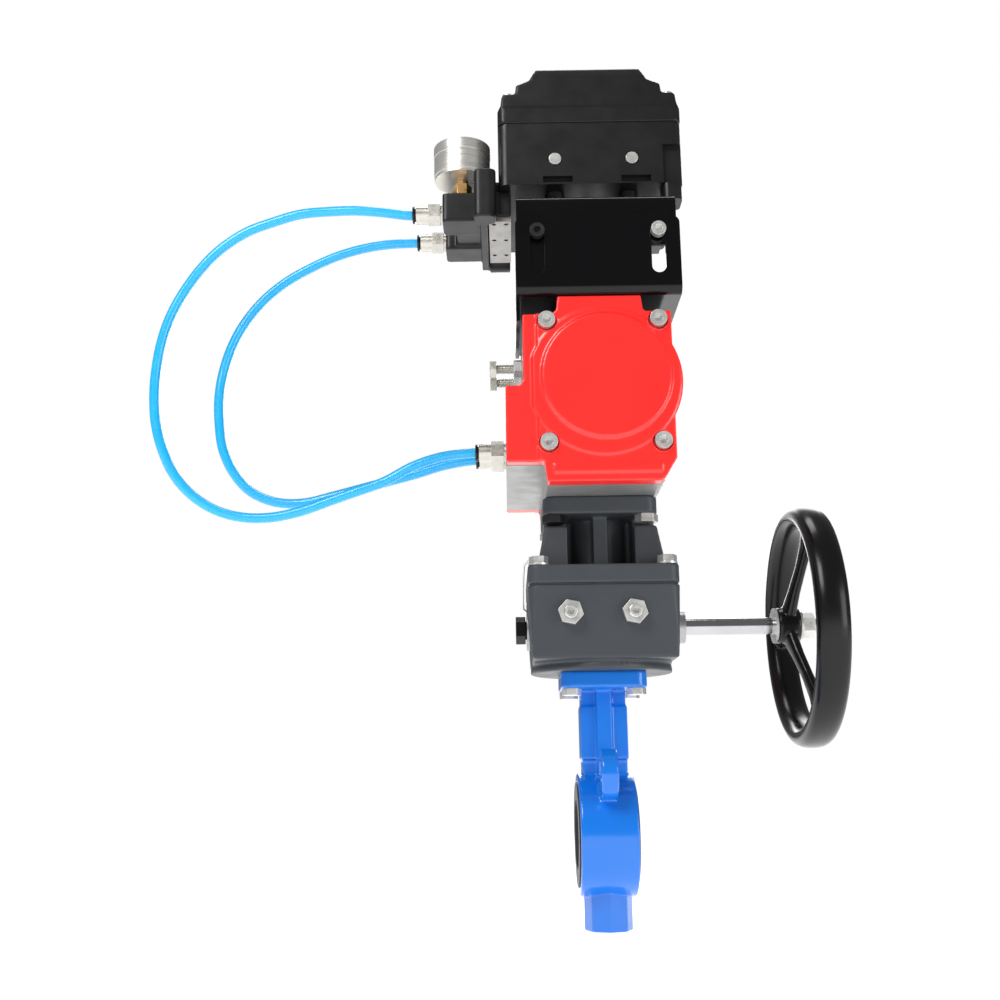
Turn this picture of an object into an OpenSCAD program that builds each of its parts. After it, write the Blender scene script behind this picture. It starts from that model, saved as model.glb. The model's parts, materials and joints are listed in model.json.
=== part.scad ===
// Quarter-turn pneumatic actuator with positioner, declutchable handwheel gearbox and wafer valve.
// Origin at the centre of the valve bore: +X along the pipe, +Z up the stem. Millimetres.

/* [Valve] */
// Diameter of the clear bore through the rubber seat
bore_d = 52; // [50:0.5:54]
// Outside diameter of the metal ring
ring_d = 91; // [89:0.5:94]
// Length of the metal ring along the pipe
ring_l = 43; // [42:0.5:44]
// How far the rubber seat stands out of each face
seat_proud = 1; // [1:0.5:2]
// Diameter of the stem
stem_d = 12; // [11:0.5:13]
// Across flats of the square on the stem
stem_square = 9; // [8:0.5:10]
// Side of the square top flange
valve_flange = 66; // [64:1:68]
// Bolt spacing of the top flange along each side
valve_bolt_gap = 49.5; // [48:0.5:50]
// Bolt circle that the two centring eyes lie on
eye_circle = 125; // [124:1:126]

/* [Gearbox] */
// Height of the gearbox's lower face above the bore centre
gear_z = 121.5; // [121:0.5:122]
// Width of the gearbox at its cover
gear_w = 115; // [114:0.5:118]
// Number of teeth on a full turn of the worm wheel
wheel_teeth = 32; // [32]
// Module of the worm wheel
wheel_module = 1.75; // [1.75]
// Offset between the clutch sleeve's axis and the worm's axis
sleeve_offset = 3.2; // [3.1:0.05:3.3]
// Turn of the sleeve between running free and meshed
sleeve_turn = 120; // [120]
// Diameter of the handwheel shaft
shaft_d = 14; // [13:0.5:14]

/* [Handwheel] */
// Outside diameter of the handwheel
hand_d = 200; // [190:5:210]
// Width of the rim along the shaft
hand_rim_w = 26; // [24:1:28]
// Radial depth of the rim
hand_rim_h = 18; // [16:1:20]
// Centre of the rim along the shaft
hand_x = 173; // [170:1:176]
// Number of spokes
hand_spokes = 3; // [3:1:5]

/* [Actuator] */
// Height of the actuator's lower face
act_z = 256; // [256]
// Height of the cylinder axis
cyl_z = 334; // [334]
// Cylinder bore
cyl_d = 100; // [98:1:100]
// Length of the extruded body without its end caps
body_l = 158; // [156:2:164]
// Thickness of each end cap
cap_t = 14; // [12:1:16]
// Diameter of the raised dish on each end cap
dish_d = 98; // [96:1:102]
// Number of teeth on the pinion
pinion_teeth = 20; // [20]
// Module of the pinion and the racks
pinion_module = 1.5; // [1.5]
// Spacing of the end cap screws across the body
cap_screw_x = 85; // [84:0.5:86]
// Spacing of the end cap screws up the body
cap_screw_z = 96; // [95:0.5:97]

/* [Brackets] */
// Thickness of the sheet steel
sheet = 3; // [2.5:0.5:3]
// Width of the lower bracket
bracket_w = 127; // [124:1:130]
// Distance from the stem axis to the front face of the lower bracket
bracket_front = 98; // [97:1:100]
// Distance between the two slots
slot_gap = 93; // [92:1:94]
// Width of each slot
slot_w = 10.8; // [10:0.2:11]

/* [Positioner] */
// Height of the positioner's lower face
pos_z = 507; // [507]
// Width of the positioner's base
pos_w = 148; // [146:1:149]
// Depth of the positioner
pos_d = 130; // [128:1:132]
// Height of the joint between base and cover
pos_seam = 562; // [561:0.5:563]
// Outside diameter of the pressure gauge
gauge_d = 47; // [45:1:48]

/* [Air tubes] */
// Outside diameter of the air tubes
tube_d = 8; // [8]
// Distance between the two ports on the actuator
port_gap = 24; // [24]

/* [Hidden] */
$fn = 64;

BLUE = [0, 0.36, 0.85];
CHARCOAL = [0.26, 0.28, 0.3];
BLACK = [0.05, 0.05, 0.055];
RED = [0.95, 0.1, 0.08];
ALLOY = [0.7, 0.7, 0.69];
STEEL = [0.75, 0.75, 0.76];
BRONZE = [0.72, 0.52, 0.28];
RUBBER = [0.06, 0.06, 0.06];
TUBE_BLUE = [0.1, 0.72, 0.95];

fit = 0.05;                       // radial clearance of a running fit
stem_r = stem_d / 2;
bore_r = bore_d / 2;
seat_r = 34;                      // outside radius of the seat's sleeve
lip_r = 39;                       // outside radius of the seat's sealing lip
ring_r = ring_d / 2;
ring_x = ring_l / 2;
lip_x = ring_x + seat_proud;
flange_z = gear_z - 12.5;         // underside of the valve's top flange
bush_r = 8;                       // outside radius of the stem bushes
flange_bolt_r = 4;
eye_yz = eye_circle / 2 * sin(45);

worm_z = 163;                     // height of the worm's axis and of the wheel's mid plane
pitch_r = wheel_teeth * wheel_module / 2;
tooth_h = 2.25 * wheel_module;
shaft_r = shaft_d / 2;
worm_r = shaft_r + tooth_h - wheel_module;            // pitch radius of the worm
sleeve_shift = sleeve_offset * sin(sleeve_turn / 2);
sleeve_y = pitch_r + worm_r + sleeve_shift;
sleeve_z = worm_z - sleeve_offset * cos(sleeve_turn / 2);
shaft_y = sleeve_y + sleeve_shift;                    // worm axis while it runs free
sleeve_r = 17;
hub_r = 18;                       // journal radius of the worm wheel
housing_top = 184.5;
cover_z = housing_top + 1;        // the gasket is 1 mm thick
cover_top = 200;
cover_bolt_y = [-51, 52];
tower_bolt = 36.06;               // half the bolt spacing between tower and actuator
stop_x = [-26, 22];               // stop screws left and right of the stem
sector_from = -16.875;            // the wheel's teeth cover eleven pitches
sector_to = 106.875;
left_x = -gear_w / 2;
boss_x = 64.5;                    // face of the worm boss
collar_x = 73;                    // outer end of the sleeve's collar

rack_x = pinion_teeth * pinion_module / 2;
body_y = body_l / 2;
cap_y = body_y + cap_t;
dish_h = 3;
step_h = 0.9;                     // height of the low step round the dish
act_top = 402;
stop_z = 369;                     // height of the travel stop bolts
stop_y = 19;
pad_x = -59;                      // side pad that the stop bolts pass through
port_x = -72.5;                   // face of the air port pad
port_z = 300;
port_y = port_gap / 2;
cap_mid = 2;                      // the caps and the bulge lie this far right of the stem
cap_sx = [cap_mid - cap_screw_x / 2, cap_mid + cap_screw_x / 2];
cap_sz = cap_screw_z / 2;
stub_r = 10;

side_leg_y = 10;                  // far end of the lower bracket's side leg
side_leg_z = 388;                 // lower edge of the side leg
slot_z0 = 418;
slot_z1 = 457;
slot_screw_z = 452;
upper_z = 485;                    // top of the upper bracket's plate
spacer_x = [-30, 30];
spacer_y = [-50, -4];
pos_y0 = -70;
pos_y1 = pos_y0 + pos_d;
pos_mid = -1.5;                   // the positioner lies this far right of the stem
pos_x0 = pos_mid - pos_w / 2;
pos_x1 = pos_mid + pos_w / 2;
pos_my = pos_y0 + pos_d / 2;
output_x = -122;                  // face of the manifold's port blocks
output_z = 497;
output_y = [-38, 16];
gauge_x = -106;
gauge_y = -38;
gauge_z = 526;
tube_r = tube_d / 2;
tube_seat = 13;                   // a tube ends this far outside its port's face

// Route of the near tube, from the manifold's near port round to the body's near port
ROUTE_NEAR = [[-135, -38, 497], [-151, -38, 497], [-172, -38, 500], [-194, -38, 502],
    [-217, -37, 502], [-240, -37, 500], [-262, -36, 494], [-284, -35, 486], [-304, -34, 473],
    [-320, -33, 457], [-334, -31, 438], [-345, -30, 417], [-352, -29, 395], [-356, -27, 372],
    [-357, -26, 349], [-355, -25, 326], [-349, -24, 304], [-339, -22, 283], [-324, -21, 266],
    [-305, -19, 254], [-283, -18, 248], [-260, -17, 248], [-237, -16, 253], [-215, -15, 261],
    [-193, -14, 269], [-171, -13, 277], [-149, -13, 289], [-126, -12, 297], [-102, -12, 300],
    [-85.5, -12, 300]];
// Route of the far tube, from the manifold's far port to the body's far port
ROUTE_FAR = [[-135, 16, 497], [-151, 16, 497], [-174, 16, 496], [-197, 16, 492],
    [-219, 16, 485], [-240, 16, 475], [-260, 16, 463], [-278, 15, 447], [-293, 15, 428],
    [-304, 15, 407], [-311, 15, 384], [-314, 14, 360], [-313, 14, 336], [-309, 14, 313],
    [-299, 14, 292], [-284, 13, 276], [-263, 13, 267], [-240, 13, 266], [-217, 12, 271],
    [-194, 12, 277], [-171, 12, 283], [-148, 12, 289], [-125, 12, 296], [-102, 12, 300],
    [-85.5, 12, 300]];
// Route of the tamper wire, from a cover bolt down the gearbox's left side
ROUTE_WIRE = [[-53, -51, 204], [-57, -50, 204], [-60, -46, 201], [-60.5, -30, 195],
    [-60.5, -10, 188], [-60.5, 10, 181], [-60, 22, 177], [-57, 27, 175]];

// ---- shapes that repeat ----

module box(a, b) {
    translate(a)
        cube(b - a);
}

// Round bar, or a polygonal one when sides is given, along each axis
module rod_z(r, z0, z1, x = 0, y = 0, sides = 0) {
    translate([x, y, z0])
        cylinder(r = r, h = z1 - z0, $fn = sides > 0 ? sides : $fn);
}

module rod_x(r, x0, x1, y = 0, z = 0, sides = 0) {
    translate([x0, y, z])
        rotate([0, 90, 0])
            cylinder(r = r, h = x1 - x0, $fn = sides > 0 ? sides : $fn);
}

module rod_y(r, y0, y1, x = 0, z = 0, sides = 0) {
    translate([x, y1, z])
        rotate([90, 0, 0])
            cylinder(r = r, h = y1 - y0, $fn = sides > 0 ? sides : $fn);
}

// Box with its four upright edges rounded
module rounded_block(a, b, r) {
    box([a[0] + r, a[1], a[2]], [b[0] - r, b[1], b[2]]);
    box([a[0], a[1] + r, a[2]], [b[0], b[1] - r, b[2]]);
    for (x = [a[0] + r, b[0] - r])
        for (y = [a[1] + r, b[1] - r])
            rod_z(r, a[2], b[2], x, y);
}

module four(x, y) {
    for (sx = [-1, 1])
        for (sy = [-1, 1])
            translate([sx * x, sy * y, 0])
                children();
}

// Corner radius of a hexagon with the given across flats
function hex_r(flats) = flats / sqrt(3);

// Fasteners stand with the seat under the head at z = 0 and the shank below
module hex_bolt(flats, head, r, length) {
    cylinder(r = hex_r(flats), h = head, $fn = 6);
    translate([0, 0, -length])
        cylinder(r = r, h = length + 0.5);
}

module socket_screw(head_r, head, r, length, key) {
    difference() {
        union() {
            cylinder(r = head_r, h = head);
            translate([0, 0, -length])
                cylinder(r = r, h = length + 0.5);
        }
        translate([0, 0, head * 0.4])
            cylinder(r = hex_r(key), h = head, $fn = 6);
    }
}

module hex_nut(flats, height, r) {
    difference() {
        cylinder(r = hex_r(flats), h = height, $fn = 6);
        translate([0, 0, -1])
            cylinder(r = r, h = height + 2);
    }
}

// Involute gear: half the tooth's angle at radius r, thinned by slack degrees
function involute(a) = tan(a) * 180 / PI - a;
function tooth_half(r, teeth, mod, slack) =
    let (base = teeth * mod / 2 * cos(20))
    90 / teeth - slack + involute(20) - (r > base ? involute(acos(base / r)) : 0);
function polar(r, a) = [r * cos(a), r * sin(a)];

module gear_outline(teeth, mod, slack) {
    pr = teeth * mod / 2;
    base = pr * cos(20);
    tip = pr + mod;
    root = pr - 1.25 * mod;
    steps = 4;
    radii = [root, for (i = [0 : steps]) base + (tip - base) * i / steps];
    last = len(radii) - 1;
    polygon([for (t = [0 : teeth - 1])
        for (side = [-1, 1])
            for (i = [0 : last])
                let (r = radii[side < 0 ? i : last - i])
                polar(r, t * 360 / teeth + side * tooth_half(r, teeth, mod, slack))]);
}

// Tube swept through the points of a route; both of its ends are square to X
function unit(v) = v / norm(v);

module sweep(route, r, sides, up) {
    n = len(route);
    rings = [for (i = [0 : n - 1])
        let (dir = i == 0 || i == n - 1 ? [route[1][0] > route[0][0] || i > 0 ? 1 : -1, 0, 0]
                : unit(route[i + 1] - route[i - 1]),
             side = unit(cross(dir, up)),
             top = cross(side, dir))
        for (k = [0 : sides - 1])
            route[i] + r * (cos(k * 360 / sides) * side + sin(k * 360 / sides) * top)];
    walls = [for (i = [0 : n - 2])
        for (k = [0 : sides - 1])
            let (a = i * sides + k, b = i * sides + (k + 1) % sides)
            [a, b, b + sides, a + sides]];
    first = [for (k = [sides - 1 : -1 : 0]) k];
    last = [for (k = [0 : sides - 1]) (n - 1) * sides + k];
    polyhedron(points = rings, faces = concat([first], walls, [last]));
}

// Push-in fitting that points to -X, with the port's face at x = 0
module push_in_fitting() {
    difference() {
        union() {
            rod_x(6.45, -1, 9);
            rod_x(7.6, -2, 0);
            rod_x(hex_r(17), -12, -2, sides = 6);
            rod_x(7.5, -22, -12);
        }
        rod_x(2.5, -14, 10);
        rod_x(tube_r + 0.05, -18, -tube_seat);
        rod_x(5.7, -23, -17);
    }
}

// Release collar of a push-in fitting, pressed towards +X to free the tube
module release_ring() {
    difference() {
        union() {
            rod_x(7, -25, -23);
            rod_x(5.4, -23, -19);
        }
        rod_x(tube_r + 0.3, -26, -18);
    }
}

// ---- valve ----

module valve_body() {
    color(BLUE)
        difference() {
            union() {
                rod_x(ring_r, -ring_x, ring_x);
                rod_z(hex_r(34) * 0.937, -70, -40, sides = 8);
                box([-17.2, -12, 38], [17.2, 12, flange_z + 1]);
                box([-18.2, -13.5, 56], [18.2, 13.5, 96]);
                box([-6, -18, 38], [6, 18, flange_z + 1]);
                rounded_block([-valve_flange / 2, -valve_flange / 2, flange_z],
                    [valve_flange / 2, valve_flange / 2, gear_z], 9);
                for (side = [-1, 1]) {
                    rod_x(18, -6.2, 6.2, side * eye_yz, eye_yz + 1);
                    rotate([side * 45, 0, 0])
                        box([-5, -9, 40], [5, 9, eye_circle / 2 - 11]);
                }
            }
            rod_x(seat_r, -ring_x - 1, ring_x + 1);
            rod_z(bush_r, 30, gear_z + 1);
            rod_z(bush_r, -71, -30);
            four(valve_bolt_gap / 2, valve_bolt_gap / 2)
                rod_z(4.5, flange_z - 1, gear_z + 1);
            for (side = [-1, 1])
                rod_x(9, -7, 7, side * eye_yz, eye_yz);
        }
}

module valve_seat() {
    color(RUBBER)
        difference() {
            union() {
                rod_x(seat_r, -ring_x, ring_x);
                rod_x(lip_r, -lip_x, -ring_x);
                rod_x(lip_r, ring_x, lip_x);
            }
            rod_x(bore_r, -lip_x - 1, lip_x + 1);
            rod_z(stem_r + fit, -40, 40);
        }
}

module valve_disc() {
    color(STEEL)
        difference() {
            intersection() {
                sphere(r = bore_r - 0.15, $fn = 96);
                union() {
                    rod_x(bore_r, -3, 3);
                    rod_x(15, -5, 5);
                    rod_z(9, -bore_r, bore_r);
                }
            }
            rod_z(stem_r + 0.02, -30, 30);
        }
}

module valve_stem() {
    color(STEEL) {
        rod_z(stem_r, -60, gear_z);
        intersection() {
            rod_z(stem_r, gear_z, 150);
            box([-stem_square / 2, -stem_square / 2, gear_z],
                [stem_square / 2, stem_square / 2, 150]);
        }
    }
}

module stem_bushes() {
    color(BRONZE)
        for (span = [[-58, -38], [38, 58], [98, 118]])
            difference() {
                rod_z(bush_r - 0.02, span[0], span[1]);
                rod_z(stem_r + fit, span[0] - 1, span[1] + 1);
            }
}

module bottom_plug() {
    color(STEEL)
        difference() {
            rod_z(bush_r - 0.02, -70, -61);
            rod_z(hex_r(8), -71, -66, sides = 6);
        }
}

module flange_bolts() {
    color(STEEL)
        four(valve_bolt_gap / 2, valve_bolt_gap / 2)
            translate([0, 0, flange_z])
                rotate([180, 0, 0])
                    hex_bolt(13, 5.3, flange_bolt_r - 0.05, 24);
}

// ---- gearbox ----

// Block with draft on all four sides, wider at the top
module drafted_block(z0, z1, low, high, y0, y1, draft) {
    intersection() {
        translate([0, 100, 0])
            rotate([90, 0, 0])
                linear_extrude(height = 200)
                    polygon([[-low, z0], [low, z0], [high, z1], [-high, z1]]);
        translate([-100, 0, 0])
            rotate([90, 0, 90])
                linear_extrude(height = 200)
                    polygon([[y0 + draft, z0], [y1 - draft, z0], [y1, z1], [y0, z1]]);
        rounded_block([-high, y0, z0], [high, y1, z1], 8);
    }
}

module gearbox_housing() {
    color(CHARCOAL)
        difference() {
            union() {
                rod_z(55.5, gear_z, 125.5);
                rod_z(53, 125, 127.5);
                rod_z(55, 127, 130);
                drafted_block(129, housing_top, gear_w / 2 - 3, gear_w / 2, -60, 62, 2.5);
                rod_x(21, 50, boss_x, sleeve_y, sleeve_z);
            }
            box([-42, -42, 136], [42, 52, housing_top + 1]);
            rod_x(sleeve_r + fit, left_x - 1, boss_x + 1, sleeve_y, sleeve_z);
            rod_z(22, 124, 137);
            rod_z(10, gear_z - 1, 125);
            four(valve_bolt_gap / 2, valve_bolt_gap / 2)
                rod_z(flange_bolt_r, gear_z - 1, 134.5);
            for (x = stop_x)
                rod_y(5, -61, -41, x, worm_z);
            for (side = [-1, 1])
                for (y = cover_bolt_y)
                    rod_z(4, 181, housing_top + 1, side * 49, y);
        }
}

module wheel_bushes() {
    color(BRONZE)
        for (span = [[124, 136], [cover_z, 198]])
            difference() {
                rod_z(21.98, span[0], span[1]);
                rod_z(hub_r + fit, span[0] - 1, span[1] + 1);
            }
}

module housing_gasket() {
    color(RUBBER)
        difference() {
            rounded_block([-gear_w / 2 + 1, -59, housing_top], [gear_w / 2 - 1, 61, cover_z], 7);
            box([-42, -42, housing_top - 1], [42, 52, cover_z + 1]);
            for (side = [-1, 1])
                for (y = cover_bolt_y)
                    rod_z(4.3, housing_top - 1, cover_z + 1, side * 49, y);
        }
}

module tower_cover() {
    color(CHARCOAL)
        difference() {
            union() {
                rounded_block([-gear_w / 2, -60, cover_z], [gear_w / 2, 62, cover_top], 8);
                rod_z(22, cover_top, act_z);
                box([-5.5, -33, cover_top], [5.5, 33, 243]);
                box([-30, -6, cover_top], [30, 6, 243]);
                for (side = [0, 180])
                    rotate([0, 0, side]) {
                        translate([0, 40, 0])
                            rotate([90, 0, 0])
                                linear_extrude(height = 80)
                                    polygon([[26, cover_top], [50, cover_top], [43.5, 233],
                                        [26, 233]]);
                        box([26, -23, 233], [43.5, 23, 243]);
                    }
                rounded_block([-44.5, -44.5, 242], [44.5, 44.5, act_z], 9);
            }
            rod_z(hub_r - 2, 197, act_z + 1);
            rod_z(22, cover_z - 1, 198);
            four(tower_bolt, tower_bolt)
                rod_z(5.5, 241, act_z + 1);
            for (side = [-1, 1])
                for (y = cover_bolt_y)
                    rod_z(4.5, cover_z - 1, cover_top + 1, side * 49, y);
        }
}

module cover_bolts() {
    color(STEEL)
        for (side = [-1, 1])
            for (y = cover_bolt_y)
                translate([side * 49, y, cover_top]) {
                    difference() {
                        cylinder(r = 8, h = 1.6);
                        translate([0, 0, -1])
                            cylinder(r = 4.2, h = 4);
                    }
                    translate([0, 0, 1.6])
                        hex_bolt(13, 5.3, flange_bolt_r - 0.05, 20);
                }
}

module worm_wheel() {
    color(BRONZE)
        difference() {
            union() {
                rod_z(hub_r, 126, 197.5);
                intersection() {
                    translate([0, 0, worm_z - 10])
                        linear_extrude(height = 20)
                            gear_outline(wheel_teeth, wheel_module, 0.5);
                    linear_extrude(height = 200)
                        polygon([[0, 0], polar(60, sector_from), polar(60, 20), polar(60, 70),
                            polar(60, sector_to)]);
                }
            }
            box([-stem_square / 2 - 0.1, -stem_square / 2 - 0.1, 125],
                [stem_square / 2 + 0.1, stem_square / 2 + 0.1, 151]);
            box([-8.55, -8.55, 173], [8.55, 8.55, 198]);
        }
}

// Eccentric sleeve: two journals joined by a bar that never passes the wheel
module clutch_sleeve() {
    color(STEEL)
        difference() {
            union() {
                rod_x(sleeve_r, left_x, -24, sleeve_y, sleeve_z);
                rod_x(sleeve_r, 24, boss_x + 0.3, sleeve_y, sleeve_z);
                intersection() {
                    rod_x(sleeve_r, -25, 25, sleeve_y, sleeve_z);
                    translate([-25, sleeve_y, sleeve_z])
                        rotate([90, 0, 90])
                            linear_extrude(height = 50)
                                polygon([[0, 0], polar(40, 0), polar(40, -40), polar(40, -80),
                                    polar(40, -118)]);
                }
                rod_x(13.7, boss_x + 0.3, collar_x, shaft_y, worm_z);
            }
            rod_x(shaft_r + fit, -52, collar_x + 1, shaft_y, worm_z);
            rod_x(shaft_r + tooth_h + 0.5, -24, 24, shaft_y, worm_z);
        }
}

module clutch_knob() {
    color(BLACK) {
        rod_x(hex_r(20), left_x - 9, left_x - 1, sleeve_y, sleeve_z, sides = 6);
        rod_x(7.5, left_x - 1, left_x, sleeve_y, sleeve_z);
    }
}

module lock_wire() {
    color(STEEL)
        sweep(ROUTE_WIRE, 0.7, 8, [0, 0, 1]);
}

// Shaft with the worm's ridges as plain rings, so that it meshes at any turn
module worm_shaft() {
    ring_pitch = PI * wheel_module;
    color(STEEL)
        translate([0, shaft_y, worm_z])
            rotate([0, 90, 0]) {
                translate([0, 0, -50])
                    cylinder(r = shaft_r, h = 50 + 168);
                translate([0, 0, 168])
                    cylinder(r = 6, h = 17);
                for (i = [-2 : 1])
                    translate([0, 0, (i + 0.5) * ring_pitch])
                        rotate_extrude()
                            polygon([[shaft_r - 0.5, -2.1], [shaft_r, -2.1],
                                [shaft_r + tooth_h, -0.7], [shaft_r + tooth_h, 0.7],
                                [shaft_r, 2.1], [shaft_r - 0.5, 2.1]]);
            }
}

module handwheel() {
    rim_r = hand_rim_h / 2;
    rim_c = hand_d / 2 - rim_r;
    flat = hand_rim_w / 2 - rim_r;
    color(BLACK)
        translate([0, shaft_y, worm_z])
            rotate([0, 90, 0])
                difference() {
                    union() {
                        translate([0, 0, hand_x])
                            rotate_extrude($fn = 96) {
                                translate([rim_c, -flat])
                                    circle(r = rim_r, $fn = 48);
                                translate([rim_c, flat])
                                    circle(r = rim_r, $fn = 48);
                                translate([rim_c - rim_r, -flat])
                                    square([2 * rim_r, 2 * flat]);
                            }
                        translate([0, 0, 149])
                            cylinder(r = 15, h = 19);
                        for (i = [0 : hand_spokes - 1])
                            rotate([0, 0, 90 + i * 360 / hand_spokes])
                                rotate([90, 0, 0])
                                    translate([0, 0, -6])
                                        linear_extrude(height = 12)
                                            polygon([[10, 154], [16, 154], [60, 162],
                                                [84, 166], [84, 176], [58, 173], [16, 165],
                                                [10, 165]]);
                    }
                    translate([0, 0, 148])
                        cylinder(r = shaft_r + 0.02, h = 21);
                }
}

module hub_fasteners() {
    color(STEEL)
        translate([0, shaft_y, worm_z])
            rotate([0, 90, 0]) {
                translate([0, 0, 147])
                    difference() {
                        cylinder(r = 14.5, h = 2);
                        translate([0, 0, -1])
                            cylinder(r = shaft_r + 0.02, h = 4);
                    }
                translate([0, 0, 168])
                    difference() {
                        cylinder(r = 12, h = 2);
                        translate([0, 0, -1])
                            cylinder(r = 6.1, h = 4);
                    }
                translate([0, 0, 170])
                    hex_nut(18, 10, 6.02);
            }
}

module stop_screws() {
    color(STEEL)
        for (x = stop_x)
            difference() {
                rod_y(4.95, -69, -9, x, worm_z);
                rod_y(hex_r(5), -70, -64, x, worm_z, sides = 6);
            }
}

module stop_nuts() {
    color(STEEL)
        for (x = stop_x)
            translate([x, -59.5, worm_z])
                rotate([90, 12, 0])
                    hex_nut(17, 6.5, 5);
}

module drive_coupling() {
    color(STEEL) {
        box([-8.5, -8.5, 174], [8.5, 8.5, 200]);
        rod_z(15.5, 200, 254);
        box([-8.5, -8.5, 254], [8.5, 8.5, 275]);
    }
}

module tower_bolt_at(x, y) {
    translate([x, y, 242])
        rotate([180, 0, 0])
            hex_bolt(16, 6.4, 4.95, 30);
}

module tower_bolts() {
    color(STEEL)
        for (place = [[1, -1], [1, 1], [-1, 1]])
            tower_bolt_at(place[0] * tower_bolt, place[1] * tower_bolt);
}

// ---- actuator ----

// Section across the body, as X and Z
module body_section() {
    polygon([[-42, act_z], [42, act_z], [46, 259], [54.5, 273], [54.5, 389], [35, 389],
        [33, 391], [32, act_top], [-32, act_top], [-33, 391], [-35, 389], [pad_x, 388],
        [pad_x, 336], [-62, 331.5], [port_x, 331.5], [port_x, 272], [-44, 272]]);
    intersection() {
        translate([cap_mid, cyl_z])
            circle(r = 59.5, $fn = 96);
        translate([20, cyl_z - 40])
            square([50, 80]);
    }
}

// Stretch of the body's section between two places along Y
module body_slice(y0, y1) {
    translate([0, y1, 0])
        rotate([90, 0, 0])
            linear_extrude(height = y1 - y0)
                body_section();
}

module actuator_body() {
    color(ALLOY)
        difference() {
            body_slice(-body_y, body_y);
            rod_y(cyl_d / 2, -body_y - 1, body_y + 1, 0, cyl_z);
            rod_z(20, act_z - 1, 300);
            rod_z(13, 360, act_top + 1);
            four(tower_bolt, tower_bolt)
                rod_z(5, act_z - 1, 275);
            four(15, 40)
                rod_z(2.5, 390, act_top + 1);
            for (side = [-1, 1]) {
                rod_x(6.5, port_x - 1, -61, side * port_y, port_z);
                rod_x(4, -80, -30, side * stop_y, stop_z);
                for (x = cap_sx)
                    for (z = [cyl_z - cap_sz, cyl_z + cap_sz])
                        translate([x, side * body_y, z])
                            rotate([90, 0, 0])
                                translate([0, 0, -22])
                                    cylinder(r = 4, h = 44);
            }
            rod_x(4, -62, -30, -port_y, port_z);
            rod_z(3, 284, port_z, -64, port_y);
            rod_y(3, -body_y - 1, body_y + 1, -64, 284);
        }
}

// End cap at the front; the rear one is the same part turned about
module end_cap() {
    difference() {
        union() {
            body_slice(-cap_y + 2, -body_y);
            intersection() {
                body_slice(-cap_y, -cap_y + 2);
                box([-48, -200, act_z - 1], [70, 0, act_top + 1]);
            }
            intersection() {
                rod_y(57.5, -cap_y - step_h, -cap_y + 1, cap_mid, cyl_z);
                body_slice(-cap_y - step_h, -cap_y + 1);
                box([-52, -200, 200], [70, 0, act_top]);
            }
            box([-37, -cap_y - step_h, 263], [43, -cap_y + 1, 269]);
            rod_y(dish_d / 2, -cap_y - dish_h, -cap_y + 1, cap_mid + 2, cyl_z + 4);
        }
        rod_y(44, -cap_y + 8, -body_y + 1, 0, cyl_z);
        box([-67, -body_y - 3, 281], [-12, -body_y + 1, 287]);
        difference() {
            rod_y(54.5, -body_y - 2, -body_y + 1, 0, cyl_z);
            rod_y(51.5, -body_y - 3, -body_y + 2, 0, cyl_z);
        }
        for (x = cap_sx)
            for (z = [cyl_z - cap_sz, cyl_z + cap_sz]) {
                rod_y(4.5, -cap_y - 1, -body_y + 1, x, z);
                rod_y(7.5, -cap_y - 4, -cap_y + 4, x, z);
            }
    }
}

module front_cap() {
    color(RED)
        end_cap();
}

module rear_cap() {
    color(RED)
        mirror([0, 1, 0])
            end_cap();
}

module cap_seals() {
    color(RUBBER)
        for (side = [0, 1])
            mirror([0, side, 0])
                difference() {
                    rod_y(54.45, -body_y - 1.95, -body_y, 0, cyl_z);
                    rod_y(51.55, -body_y - 3, -body_y + 1, 0, cyl_z);
                }
}

module cap_screws() {
    color(STEEL)
        for (side = [0, 1])
            mirror([0, side, 0])
                for (x = cap_sx)
                    for (z = [cyl_z - cap_sz, cyl_z + cap_sz])
                        translate([x, -cap_y + 4, z])
                            rotate([90, 0, 0])
                                socket_screw(6.5, 8, 3.95, 30, 6);
}

// Piston with its rack on the -X side; the other is turned half round
module piston() {
    head_in = -37;
    head_out = -53;
    arm_end = 34;
    rack_pitch = PI * pinion_module;
    root_x = -rack_x - 1.25 * pinion_module;
    tip_x = -rack_x + pinion_module;
    half = rack_pitch / 4 - 0.1;
    slope = tan(20);
    difference() {
        rod_y(cyl_d / 2 - 0.2, head_out, head_in, 0, cyl_z);
        difference() {
            rod_y(cyl_d / 2 + 1, head_in - 10, head_in - 6, 0, cyl_z);
            rod_y(cyl_d / 2 - 5, head_in - 11, head_in - 5, 0, cyl_z);
        }
        rod_y(30, head_out - 1, head_out + 5, 0, cyl_z);
    }
    box([-30, head_in - 1, cyl_z - 10], [root_x + 0.01, arm_end, cyl_z + 10]);
    translate([0, 0, cyl_z - 10])
        linear_extrude(height = 20)
            for (i = [-2 : 6])
                translate([0, (i + 0.5) * rack_pitch])
                    polygon([[root_x, -half - 1.25 * pinion_module * slope],
                        [tip_x, -half + pinion_module * slope],
                        [tip_x, half - pinion_module * slope],
                        [root_x, half + 1.25 * pinion_module * slope]]);
}

module front_piston() {
    color(ALLOY)
        piston();
}

module rear_piston() {
    color(ALLOY)
        rotate([0, 0, 180])
            piston();
}

module piston_seal() {
    difference() {
        rod_y(cyl_d / 2 - fit, -47, -43, 0, cyl_z);
        rod_y(cyl_d / 2 - 5, -48, -42, 0, cyl_z);
    }
}

module front_piston_seal() {
    color(RUBBER)
        piston_seal();
}

module rear_piston_seal() {
    color(RUBBER)
        rotate([0, 0, 180])
            piston_seal();
}

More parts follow.
